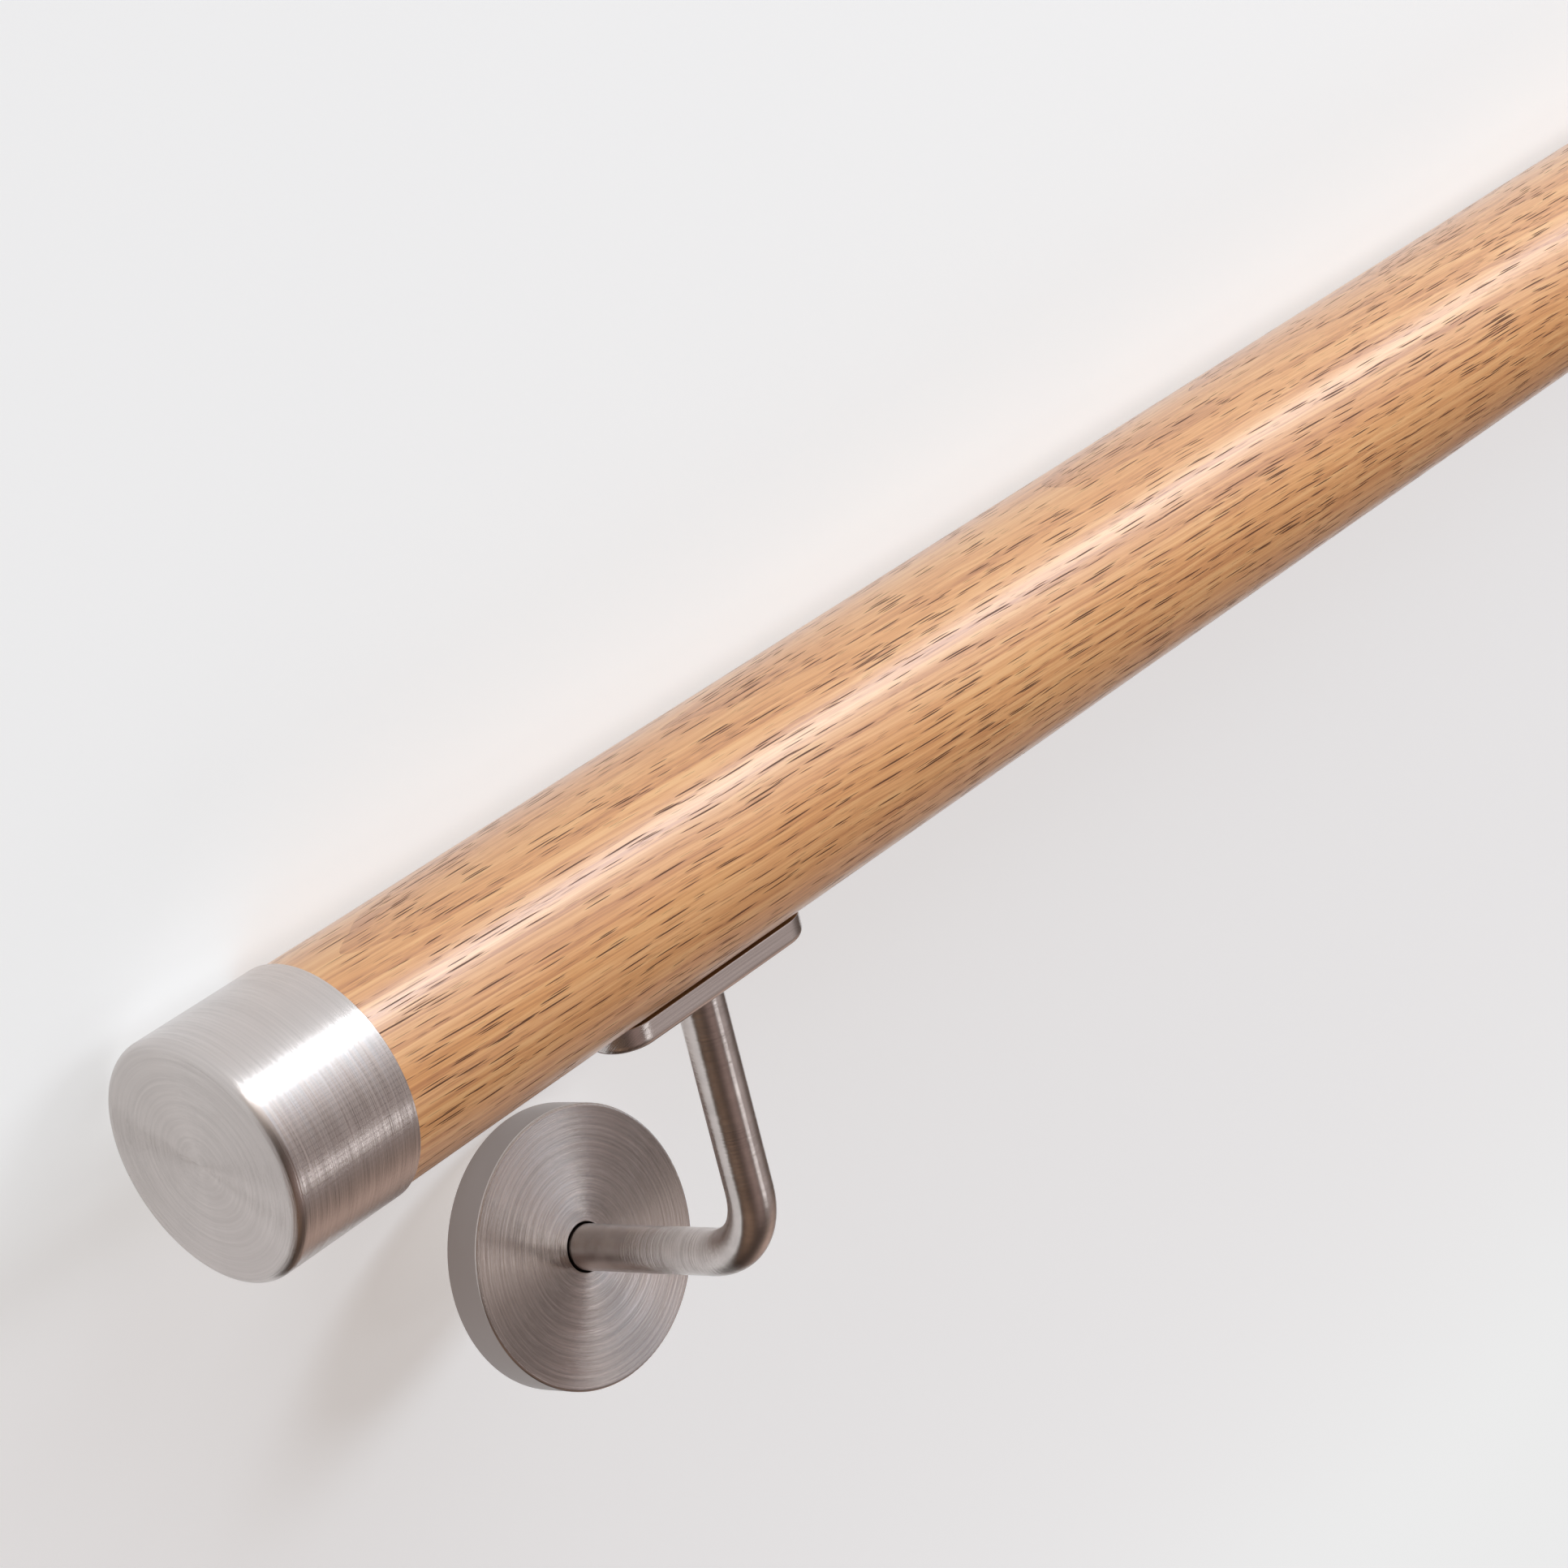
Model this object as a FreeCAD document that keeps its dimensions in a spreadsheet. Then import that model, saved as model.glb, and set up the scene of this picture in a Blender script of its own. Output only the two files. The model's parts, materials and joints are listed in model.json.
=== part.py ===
"""Round oak stair handrail with two drawn end caps and two wall brackets.

It lies unheld on a level floor: the end caps and the upper rims of the two cover rosettes touch z = 0.
X runs along the rail, +Z is up, and the origin is the middle of the footprint.
Each bracket is drawn as it hangs on a wall: X along the rail, Y up the wall, Z away from the wall.
"""

import FreeCAD, Part
import Sketcher
import math
import os

# Two places are the same within this many millimetres
NEAR = 1e-6

# Sketcher's numbers for the points of a line, an arc or a circle
START, END, CENTRE = range(1, 4)

SIZES = {
    # rail
    "rail_length": (1000.0, "length over both end caps"),
    "rail_diameter": (45.0, "round oak section"),
    "rail_end_chamfer": (1.5, "bevel of the wood inside the cap"),
    # end caps
    "cap_length": (29.0, "depth of the cup"),
    "cap_sheet": (0.6, "sheet the cup is drawn from"),
    "cap_clearance": (0.05, "glue gap all round the wood"),
    "cap_edge_radius": (2.0, "outer radius between side and end face"),
    "cap_lip_radius": (0.25, "rounding of the open rim"),
    # place of the brackets
    "bracket_inset": (118.5, "bracket's middle from the rail's end"),
    "rail_rise": (84.0, "rail's axis above the rosette's axis"),
    "rail_reach": (74.0, "rail's axis from the wall"),
    # arm
    "arm_diameter": (9.5, "round rod"),
    "arm_lean": (9.0, "degrees the upright leans away from the wall"),
    "arm_bend_radius": (17.0, "centre line of the bend"),
    # saddle plate
    "saddle_length": (55.0, "over the round ends"),
    "saddle_width": (15.0, "flat bar's width"),
    "saddle_thickness": (5.0, "flat bar's thickness"),
    "saddle_edge_radius": (1.8, "rounding of the lower edge"),
    "saddle_top_radius": (0.2, "rounding of the upper edge"),
    "saddle_screw_spacing": (36.0, "between the two screw holes"),
    "saddle_hole_diameter": (4.5, "clearance for the wood screw"),
    "saddle_sink_diameter": (9.0, "countersink at the lower face"),
    # cover rosette
    "rosette_diameter": (58.0, "outside of the cup"),
    "rosette_height": (8.8, "from the wall to the front face"),
    "rosette_wall": (1.2, "wall of the turned cup"),
    "rosette_edge_radius": (0.6, "broken edge between side and front face"),
    "rosette_bore_radius": (0.3, "rounding of the bore's front edge"),
    "rosette_bore_clearance": (0.35, "gap all round the rod"),
    # wall flange
    "flange_thickness": (4.0, "plate on the wall"),
    "flange_clearance": (0.1, "gap between the plate and the cover"),
    "flange_edge_radius": (0.5, "rounding that lets the cover slip on"),
    "flange_hole_circle": (38.0, "diameter of the screw hole circle"),
    "flange_hole_diameter": (5.5, "wall screw holes"),
    "flange_hole_count": (3, "wall screw holes"),
}

document = FreeCAD.newDocument("stair_handrail")
sheet = document.addObject("Spreadsheet::Sheet", "Sizes")
for row, (alias, (size, meaning)) in enumerate(SIZES.items(), start=1):
    sheet.set(f"A{row}", meaning)
    sheet.set(f"B{row}", str(size))
    sheet.setAlias(f"B{row}", alias)
document.recompute()

# Lengths that follow from the sheet, as expressions
RAIL_RADIUS = "(Sizes.rail_diameter / 2)"
CAP_BORE_RADIUS = f"({RAIL_RADIUS} + Sizes.cap_clearance)"
CAP_RADIUS = f"({CAP_BORE_RADIUS} + Sizes.cap_sheet)"
ROSETTE_RADIUS = "(Sizes.rosette_diameter / 2)"
ROSETTE_BORE_RADIUS = "(Sizes.arm_diameter / 2 + Sizes.rosette_bore_clearance)"
SADDLE_DROP = f"({RAIL_RADIUS} + Sizes.saddle_thickness)"
BRACKET_X = "(Sizes.rail_length / 2 - Sizes.bracket_inset)"
LEAN = "(Sizes.arm_lean * 1 deg)"
ELBOW_OUT = f"(Sizes.rail_reach - Sizes.rail_rise * tan({LEAN}))"

# Rest pose: the floor touches the rosettes' upper rims and the end caps, a tangent from a point to a circle
RIM_TO_RAIL_UP = f"(Sizes.rail_rise - {ROSETTE_RADIUS})"
RIM_TO_RAIL = f"hypot({RIM_TO_RAIL_UP}; Sizes.rail_reach)"
pose = document.addObject("App::VarSet", "Pose")
TIP = f"atan2(Sizes.rail_reach; {RIM_TO_RAIL_UP}) - asin({CAP_RADIUS} / {RIM_TO_RAIL})"
POSE = {
    "tip": ("App::PropertyAngle", TIP),
    "axis_y": ("App::PropertyFloat", "Sizes.rail_rise * cos(tip) + Sizes.rail_reach * sin(tip)"),
    "shift_y": ("App::PropertyFloat", f"({ROSETTE_RADIUS} * cos(tip) - axis_y - {CAP_RADIUS}) / 2"),
    "shift_z": ("App::PropertyFloat", f"{ROSETTE_RADIUS} * sin(tip)"),
}
for name, (kind, expression) in POSE.items():
    pose.addProperty(kind, name)
    pose.setExpression(name, expression)
document.recompute()

subparts = []


def new_body(label):
    """An empty body whose label names its node."""
    body = document.addObject("PartDesign::Body", label)
    body.Label = label
    subparts.append(body)
    return body


def place(body, x, y, z, axis, angle):
    """Bind the body's whole placement to expressions."""
    spin = f"create(<<rotation>>; create(<<vector>>; {axis}); {angle})"
    body.setExpression("Placement", f"create(<<placement>>; create(<<vector>>; {x}; {y}; {z}); {spin})")


def new_sketch(body, name, plane, height=None):
    """A sketch on one of the body's own origin planes, lifted by an expression where one is given."""
    sketch = body.newObject("Sketcher::SketchObject", name)
    support = next(feature for feature in body.Origin.OriginFeatures if feature.Role == plane)
    sketch.AttachmentSupport = (support, "")
    sketch.MapMode = "FlatFace"
    if height is not None:
        sketch.setExpression("AttachmentOffset.Base.z", height)
    document.recompute()
    return sketch


def number(expression):
    """What an expression comes to now."""
    return float(pose.evalExpression(expression))


def dimension(sketch, kind, expression, *references):
    """A dimension driven by an expression."""
    index = sketch.addConstraint(Sketcher.Constraint(kind, *references, number(expression)))
    sketch.setExpression(f"Constraints[{index}]", expression)


def hold(sketch, geometry, end, x, y):
    """Hold one end of a sketch element at an expression-driven place."""
    horizontal_axis = -1
    vertical_axis = -2
    origin = (horizontal_axis, START)
    for kind, expression, axis in (("DistanceX", x, vertical_axis), ("DistanceY", y, horizontal_axis)):
        if expression == "0":
            sketch.addConstraint(Sketcher.Constraint("PointOnObject", geometry, end, axis))
        else:
            dimension(sketch, kind, expression, *origin, geometry, end)


def spot(x, y):
    """The place in a sketch that two expressions give now."""
    return FreeCAD.Vector(number(x), number(y), 0)


def polygon(sketch, corners):
    """A closed outline of straight lines through expression-driven corners."""
    count = len(corners)
    spots = [spot(x, y) for x, y in corners]
    for i in range(count):
        sketch.addGeometry(Part.LineSegment(spots[i], spots[(i + 1) % count]), False)
    for i in range(count):
        sketch.addConstraint(Sketcher.Constraint("Coincident", i, END, (i + 1) % count, START))
    for i, (x, y) in enumerate(corners):
        hold(sketch, i, START, x, y)


def circle(sketch, x, y, diameter):
    """A circle about an expression-driven centre."""
    up = FreeCAD.Vector(0, 0, 1)
    index = sketch.addGeometry(Part.Circle(spot(x, y), up, number(diameter) / 2), False)
    hold(sketch, index, CENTRE, x, y)
    dimension(sketch, "Diameter", diameter, index)


def revolve(body, sketch, axis):
    """A full turn of a sketch about one of its own axes."""
    turn = body.newObject("PartDesign::Revolution", f"{sketch.Name}_turn")
    turn.Profile = sketch
    turn.ReferenceAxis = (sketch, [axis])
    document.recompute()
    return turn


def ring(radius, x, z):
    """A test for the circular edge of a turned piece, by its radius and its centre."""
    centre = FreeCAD.Vector(number(x), 0, number(z))

    def chosen(edge):
        curve = edge.Curve
        if not isinstance(curve, Part.Circle):
            return False
        return abs(curve.Radius - number(radius)) < NEAR and curve.Center.isEqual(centre, NEAR)

    return chosen


def level(z):
    """A test for the edges that lie flat at one height."""
    height = number(z)
    return lambda edge: all(abs(vertex.Z - height) < NEAR for vertex in edge.Vertexes)


def round_edges(body, feature, radius, chosen):
    """Round the edges of a feature that pass a test."""
    names = [f"Edge{i}" for i, edge in enumerate(feature.Shape.Edges, start=1) if chosen(edge)]
    fillet = body.newObject("PartDesign::Fillet", f"{body.Name}_round")
    fillet.Base = (feature, names)
    fillet.setExpression("Radius", radius)
    document.recompute()
    return fillet


def oak_rail():
    body = new_body("oak_rail")
    half = "(Sizes.rail_length / 2 - Sizes.cap_sheet - Sizes.cap_clearance)"
    shoulder = f"({half} - Sizes.rail_end_chamfer)"
    nose = f"({RAIL_RADIUS} - Sizes.rail_end_chamfer)"
    section = new_sketch(body, "rail_section", "XY_Plane")
    polygon(section, [
        (f"-{half}", "0"),
        (half, "0"),
        (half, nose),
        (shoulder, RAIL_RADIUS),
        (f"-{shoulder}", RAIL_RADIUS),
        (f"-{half}", nose),
    ])
    revolve(body, section, "H_Axis")
    place(body, "0", "Pose.axis_y + Pose.shift_y", CAP_RADIUS, "0; 0; 1", "0")


def end_cap(label, side, turn):
    """A drawn cup, open towards the middle of the rail; its local x runs outwards."""
    body = new_body(label)
    floor_x = "(Sizes.cap_length - Sizes.cap_sheet)"
    section = new_sketch(body, f"{label}_section", "XY_Plane")
    polygon(section, [
        ("0", CAP_BORE_RADIUS),
        (floor_x, CAP_BORE_RADIUS),
        (floor_x, "0"),
        ("Sizes.cap_length", "0"),
        ("Sizes.cap_length", CAP_RADIUS),
        ("0", CAP_RADIUS),
    ])
    cup = revolve(body, section, "H_Axis")
    corner_inside = "Sizes.cap_edge_radius - Sizes.cap_sheet"
    cup = round_edges(body, cup, "Sizes.cap_edge_radius", ring(CAP_RADIUS, "Sizes.cap_length", "0"))
    cup = round_edges(body, cup, corner_inside, ring(CAP_BORE_RADIUS, floor_x, "0"))
    round_edges(body, cup, "Sizes.cap_lip_radius", ring(CAP_RADIUS, "0", "0"))
    x = f"{side} * (Sizes.rail_length / 2 - Sizes.cap_length)"
    place(body, x, "Pose.axis_y + Pose.shift_y", CAP_RADIUS, "0; 0; 1", turn)


def hang(body, side):
    """Turn a piece from the wall's frame to the rest pose, on one side's bracket."""
    place(body, f"{side} * {BRACKET_X}", "Pose.shift_y", "Pose.shift_z", "1; 0; 0", "-Pose.tip")


def saddle_plate(label, side):
    """Flat bar under the rail; its local z runs up to the rail, which touches z = 0."""
    body = new_body(label)
    half_width = "(Sizes.saddle_width / 2)"
    half_run = "((Sizes.saddle_length - Sizes.saddle_width) / 2)"
    outline = new_sketch(body, f"{label}_outline", "XY_Plane")
    radius = number(half_width)
    run = number(half_run)
    up = FreeCAD.Vector(0, 0, 1)
    for end in (1, -1):
        whole = Part.Circle(FreeCAD.Vector(run * end, 0, 0), up, radius)
        from_angle = -end * math.pi / 2
        outline.addGeometry(Part.ArcOfCircle(whole, from_angle, from_angle + math.pi), False)
        top = FreeCAD.Vector(run * end, radius * end, 0)
        outline.addGeometry(Part.LineSegment(top, FreeCAD.Vector(-run * end, radius * end, 0)), False)
    count = outline.GeometryCount
    for i in range(count):
        outline.addConstraint(Sketcher.Constraint("Tangent", i, END, (i + 1) % count, START))
    right_arc, _, left_arc, _ = range(count)
    outline.addConstraint(Sketcher.Constraint("Equal", right_arc, left_arc))
    hold(outline, right_arc, CENTRE, half_run, "0")
    hold(outline, left_arc, CENTRE, f"-{half_run}", "0")
    dimension(outline, "Radius", half_width, right_arc)
    bar = body.newObject("PartDesign::Pad", f"{label}_bar")
    bar.Profile = outline
    bar.Reversed = True
    bar.setExpression("Length", "Sizes.saddle_thickness")
    document.recompute()
    bar = round_edges(body, bar, "Sizes.saddle_edge_radius", level("-Sizes.saddle_thickness"))
    round_edges(body, bar, "Sizes.saddle_top_radius", level("0"))
    hole = new_sketch(body, f"{label}_hole", "XZ_Plane")
    sink = "((Sizes.saddle_sink_diameter - Sizes.saddle_hole_diameter) / 2)"
    middle = "(Sizes.saddle_screw_spacing / 2)"
    wall = f"({middle} + Sizes.saddle_hole_diameter / 2)"
    rim = f"({middle} + Sizes.saddle_sink_diameter / 2)"
    polygon(hole, [
        (middle, "0"),
        (wall, "0"),
        (wall, f"({sink} - Sizes.saddle_thickness)"),
        (rim, "-Sizes.saddle_thickness"),
        (middle, "-Sizes.saddle_thickness"),
    ])
    cut = body.newObject("PartDesign::Groove", f"{label}_sink")
    cut.Profile = hole
    cut.ReferenceAxis = (hole, ["Edge5"])
    document.recompute()
    pair = body.newObject("PartDesign::Mirrored", f"{label}_pair")
    pair.Originals = [cut]
    pair.MirrorPlane = (hole, ["V_Axis"])
    body.Tip = pair
    document.recompute()
    y = f"Pose.axis_y + Pose.shift_y - {RAIL_RADIUS} * cos(Pose.tip - {LEAN})"
    z = f"{CAP_RADIUS} + {RAIL_RADIUS} * sin(Pose.tip - {LEAN})"
    place(body, f"{side} * {BRACKET_X}", y, z, "1; 0; 0", f"{LEAN} - Pose.tip - 90 deg")


def arm(label, side):
    """Rod from the wall flange, bent once, up to the saddle plate's lower face."""
    body = new_body(label)
    path = new_sketch(body, f"{label}_path", "YZ_Plane")
    bend_out = f"({ELBOW_OUT} - Sizes.arm_bend_radius * tan(45 deg - {LEAN} / 2))"
    bend_end_up = f"(Sizes.arm_bend_radius * (1 - sin({LEAN})))"
    bend_end_out = f"({bend_out} + Sizes.arm_bend_radius * cos({LEAN}))"
    top_up = f"(Sizes.rail_rise - {SADDLE_DROP} * cos({LEAN}))"
    top_out = f"(Sizes.rail_reach - {SADDLE_DROP} * sin({LEAN}))"
    bend_start = spot("0", bend_out)
    bend_end = spot(bend_end_up, bend_end_out)
    bend_middle = spot("Sizes.arm_bend_radius", bend_out)
    bend_circle = Part.Circle(bend_middle, FreeCAD.Vector(0, 0, 1), sheet.arm_bend_radius)
    from_angle = bend_circle.parameter(bend_end)
    to_angle = bend_circle.parameter(bend_start)
    stub = path.addGeometry(Part.LineSegment(spot("0", "Sizes.flange_thickness"), bend_start), False)
    bend = path.addGeometry(Part.ArcOfCircle(bend_circle, from_angle, to_angle), False)
    upright = path.addGeometry(Part.LineSegment(bend_end, spot(top_up, top_out)), False)
    hold(path, stub, START, "0", "Sizes.flange_thickness")
    hold(path, stub, END, "0", bend_out)
    hold(path, upright, START, bend_end_up, bend_end_out)
    hold(path, upright, END, top_up, top_out)
    path.addConstraint(Sketcher.Constraint("Coincident", stub, END, bend, END))
    path.addConstraint(Sketcher.Constraint("Coincident", bend, START, upright, START))
    dimension(path, "Radius", "Sizes.arm_bend_radius", bend)
    section = new_sketch(body, f"{label}_section", "XY_Plane", "Sizes.flange_thickness")
    circle(section, "0", "0", "Sizes.arm_diameter")
    rod = body.newObject("PartDesign::AdditivePipe", f"{label}_rod")
    rod.Profile = section
    rod.Spine = (path, [])
    document.recompute()
    hang(body, side)


def wall_flange(label, side):
    """Round plate on the wall, welded to the rod."""
    body = new_body(label)
    outline = new_sketch(body, f"{label}_outline", "XY_Plane")
    gap = "(Sizes.rosette_wall + Sizes.flange_clearance)"
    circle(outline, "0", "0", f"Sizes.rosette_diameter - 2 * {gap}")
    plate = body.newObject("PartDesign::Pad", f"{label}_plate")
    plate.Profile = outline
    plate.setExpression("Length", "Sizes.flange_thickness")
    document.recompute()
    round_edges(body, plate, "Sizes.flange_edge_radius", level("Sizes.flange_thickness"))
    hole = new_sketch(body, f"{label}_hole", "XY_Plane")
    circle(hole, "0", "Sizes.flange_hole_circle / 2", "Sizes.flange_hole_diameter")
    cut = body.newObject("PartDesign::Pocket", f"{label}_cut")
    cut.Profile = hole
    cut.Reversed = True
    cut.setExpression("Length", "Sizes.flange_thickness")
    document.recompute()
    holes = body.newObject("PartDesign::PolarPattern", f"{label}_holes")
    holes.Originals = [cut]
    holes.Axis = (hole, ["N_Axis"])
    holes.setExpression("Occurrences", "Sizes.flange_hole_count")
    body.Tip = holes
    document.recompute()
    hang(body, side)


def cover_rosette(label, side):
    """Turned cup over the wall flange, with a bore for the rod."""
    body = new_body(label)
    inside = f"({ROSETTE_RADIUS} - Sizes.rosette_wall)"
    ceiling = "(Sizes.rosette_height - Sizes.rosette_wall)"
    section = new_sketch(body, f"{label}_section", "XZ_Plane")
    polygon(section, [
        (inside, "0"),
        (ROSETTE_RADIUS, "0"),
        (ROSETTE_RADIUS, "Sizes.rosette_height"),
        (ROSETTE_BORE_RADIUS, "Sizes.rosette_height"),
        (ROSETTE_BORE_RADIUS, ceiling),
        (inside, ceiling),
    ])
    cup = revolve(body, section, "V_Axis")
    front = "Sizes.rosette_height"
    cup = round_edges(body, cup, "Sizes.rosette_edge_radius", ring(ROSETTE_RADIUS, "0", front))
    round_edges(body, cup, "Sizes.rosette_bore_radius", ring(ROSETTE_BORE_RADIUS, "0", front))
    hang(body, side)


oak_rail()
end_cap("end_cap_left", "-1", "180 deg")
end_cap("end_cap_right", "1", "0 deg")
for side_name, side_sign in (("left", "-1"), ("right", "1")):
    saddle_plate(f"saddle_plate_{side_name}", side_sign)
    arm(f"arm_{side_name}", side_sign)
    wall_flange(f"wall_flange_{side_name}", side_sign)
    cover_rosette(f"cover_rosette_{side_name}", side_sign)
document.recompute()

for item in document.Objects:
    if "Invalid" in item.State or "Error" in item.State:
        raise RuntimeError(f"{item.Label} failed: {item.State}")
for body in subparts:
    if body.Shape.isNull() or not body.Shape.isValid():
        raise RuntimeError(f"{body.Label} has no valid shape")

os.makedirs("parts", exist_ok=True)
for body in subparts:
    body.Shape.exportStep(f"parts/{body.Label}.step")
    box = body.Shape.BoundBox
    print(f"{body.Label}: {body.Shape.Volume:.1f} mm3, {len(body.Shape.Solids)} solid, box {box}")
print(f"tip {pose.tip}, shifts {pose.shift_y:.3f} {pose.shift_z:.3f}, axis {pose.axis_y:.3f}")
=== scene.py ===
# %% [markdown]
# A round oak handrail lies on the floor with its wall brackets still screwed on.
# The measured model comes first: it fixes where every piece is, and nothing here moves it.

# %% Load the measured model
import json
import math

import bpy
from mathutils import Matrix, Vector


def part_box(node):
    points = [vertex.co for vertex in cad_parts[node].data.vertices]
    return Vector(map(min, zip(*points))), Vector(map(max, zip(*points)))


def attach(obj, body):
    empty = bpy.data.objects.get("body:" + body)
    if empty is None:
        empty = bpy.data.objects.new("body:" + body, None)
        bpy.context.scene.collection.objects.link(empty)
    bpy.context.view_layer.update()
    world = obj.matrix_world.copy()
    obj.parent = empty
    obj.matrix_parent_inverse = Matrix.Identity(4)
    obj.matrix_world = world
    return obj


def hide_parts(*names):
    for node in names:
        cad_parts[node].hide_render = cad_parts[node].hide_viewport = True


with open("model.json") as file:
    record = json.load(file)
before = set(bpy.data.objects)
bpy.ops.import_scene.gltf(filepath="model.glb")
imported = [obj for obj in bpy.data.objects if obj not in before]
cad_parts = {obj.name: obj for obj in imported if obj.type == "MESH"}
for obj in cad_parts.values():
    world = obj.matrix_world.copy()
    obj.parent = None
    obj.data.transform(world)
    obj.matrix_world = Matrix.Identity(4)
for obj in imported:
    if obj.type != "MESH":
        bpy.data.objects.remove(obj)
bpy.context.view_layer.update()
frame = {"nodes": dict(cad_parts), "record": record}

print("nodes:", sorted(frame["nodes"]))

# %% [markdown]
# The brackets were made to hang on a wall, but here they lie tipped over on the floor.
# Many steps are easier to think of on the wall: along the rail, up the wall and out from it.
# The screw circle's mount in the record gives that wall's middle point and direction, so the three
# directions can be worked out from it and do not have to be typed in.

# %% The wall's own directions
mounts = {mount["name"]: mount for mount in frame["record"]["mounts"]}
wall_middle = Vector(mounts["wall_screws_left"]["pos_m"])
along = Vector((1, 0, 0))
out = -Vector(mounts["wall_screws_left"]["axis"]).normalized()
up = out.cross(along)
bracket_x = abs(wall_middle.x)


def on_wall(along_m, up_m, out_m):
    """A point given from the left bracket's middle: along the rail, up the wall and out from it."""
    return wall_middle + along * along_m + up * up_m + out * out_m


print("up the wall is", [round(v, 3) for v in up], "and out of it", [round(v, 3) for v in out])

# %% [markdown]
# A few sizes are needed again for the finish. The rail's box gives its axis and radius.
# The rod leaves the wall as a short stub, bends once, and its upright leans away from the wall on the way
# to the rail. Where the bend starts follows from the lean, the bend's radius and the rail's place.

# %% Sizes read from the model
rail_low, rail_high = (Vector(corner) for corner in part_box("oak_rail"))
rail_axis = (rail_low + rail_high) / 2
rail_radius = (rail_high.z - rail_low.z) / 2
rail_half_length = (rail_high.x - rail_low.x) / 2
upright_lean = math.radians(9)
upright = up * math.cos(upright_lean) + out * math.sin(upright_lean)
saddle_thickness = 0.005
rod_radius = 0.00475
bend_radius = 0.017
bend_angle = math.pi / 2 - upright_lean
rail_from_wall = rail_axis - wall_middle
corner_out = rail_from_wall.dot(out) - rail_from_wall.dot(up) * math.tan(upright_lean)
stub_end = corner_out - bend_radius * math.tan(bend_angle / 2)
bend_middle = on_wall(0, bend_radius, stub_end)
print("rail axis", [round(v, 4) for v in rail_axis], "radius", round(rail_radius, 4))

# %% [markdown]
# Node trees get long when every link is written out. One small class wraps a socket, so that
# sums on sockets read like plain arithmetic, and one method adds any other node: its type, its
# settings first, then the values or links of its sockets.

# %% Arithmetic on sockets
class Wire:
    """A socket of a node tree that can be used in plain arithmetic."""

    def __init__(self, recipe, socket):
        self.recipe = recipe
        self.socket = socket

    def also(self, name):
        """Another output of the same node."""
        return Wire(self.recipe, self.socket.node.outputs[name])

    def maths(self, operation, *values):
        return self.recipe.add("ShaderNodeMath", {"operation": operation}, dict(enumerate(values)))

    def __add__(self, other):
        return self.maths("ADD", self, other)

    def __sub__(self, other):
        return self.maths("SUBTRACT", self, other)

    def __mul__(self, other):
        return self.maths("MULTIPLY", self, other)

    def __truediv__(self, other):
        return self.maths("DIVIDE", self, other)

    def __rsub__(self, other):
        return self.maths("SUBTRACT", other, self)

    __radd__ = __add__
    __rmul__ = __mul__

    def smooth_step(self, low, high):
        """0 below low, 1 above high and a soft rise between; turned round where low is above high."""
        settings = {"interpolation_type": "SMOOTHSTEP"}
        limits = {"Value": self, "From Min": min(low, high), "From Max": max(low, high)}
        rise = self.recipe.add("ShaderNodeMapRange", settings, limits)
        return 1 - rise if low > high else rise


class Recipe:
    """A node tree that is filled step by step."""

    def __init__(self, tree):
        self.tree = tree
        self.tree.nodes.clear()

    def add(self, kind, settings=None, sockets=None, output=0):
        """Add one node and return one of its outputs."""
        node = self.tree.nodes.new(kind)
        for name, value in (settings or {}).items():
            if name == "stops":
                self.set_stops(node.color_ramp, value)
            else:
                setattr(node, name, value)
        for name, value in (sockets or {}).items():
            self.feed(node.inputs[name], value)
        return Wire(self, node.outputs[output]) if node.outputs else node

    def feed(self, socket, value):
        if isinstance(value, Wire):
            self.tree.links.new(value.socket, socket)
        else:
            socket.default_value = value

    def set_stops(self, ramp, stops):
        while len(ramp.elements) < len(stops):
            ramp.elements.new(1)
        for element, (place, colour) in zip(ramp.elements, stops):
            element.position = place
            element.color = (*colour, 1)

    def vector(self, operation, *values, output=0):
        """A Vector Math node."""
        return self.add("ShaderNodeVectorMath", {"operation": operation}, dict(enumerate(values)), output)

    def dot(self, vector, direction):
        return self.vector("DOT_PRODUCT", vector, direction, output="Value")

    def stretch(self, vector, amount):
        """Direction times a number that varies."""
        return self.add("ShaderNodeVectorMath", {"operation": "SCALE"}, {0: vector, "Scale": amount})

    def triple(self, x, y, z):
        return self.add("ShaderNodeCombineXYZ", None, {"X": x, "Y": y, "Z": z})

    def mix(self, amount, low, high):
        """Colour between low and high."""
        settings = {"data_type": "RGBA"}
        return self.add("ShaderNodeMix", settings, {"Factor": amount, 6: low, 7: high}, output=2)

    def noise(self, vector, detail=2.0, roughness=0.5):
        return self.add("ShaderNodeTexNoise", None, {
            "Vector": vector, "Scale": 1.0, "Detail": detail, "Roughness": roughness})


def new_finish(name):
    """An empty material and the recipe that fills it."""
    material = bpy.data.materials.new(name)
    material.use_nodes = True
    return material, Recipe(material.node_tree)


def finish_surface(recipe, sockets):
    """The shader at the end of a finish."""
    shader = recipe.add("ShaderNodeBsdfPrincipled", None, sockets)
    recipe.add("ShaderNodeOutputMaterial", None, {"Surface": shader})


print("node helpers ready")

# %% [markdown]
# Oak is ring-porous. Each year starts with a band of wide vessels and ends with dense wood.
# On a lengthwise cut those vessels show as short dark dashes in bands, with finer dashes between.
# An image could be wrapped round the rail, but it would smear at the ends and repeat.
# Here the wood is solid: the pattern is worked out in the space of the tree, so every side of the
# rail shows the same plank. The fibres run at a slight angle to the rail, as they do in sawn stock.

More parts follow.
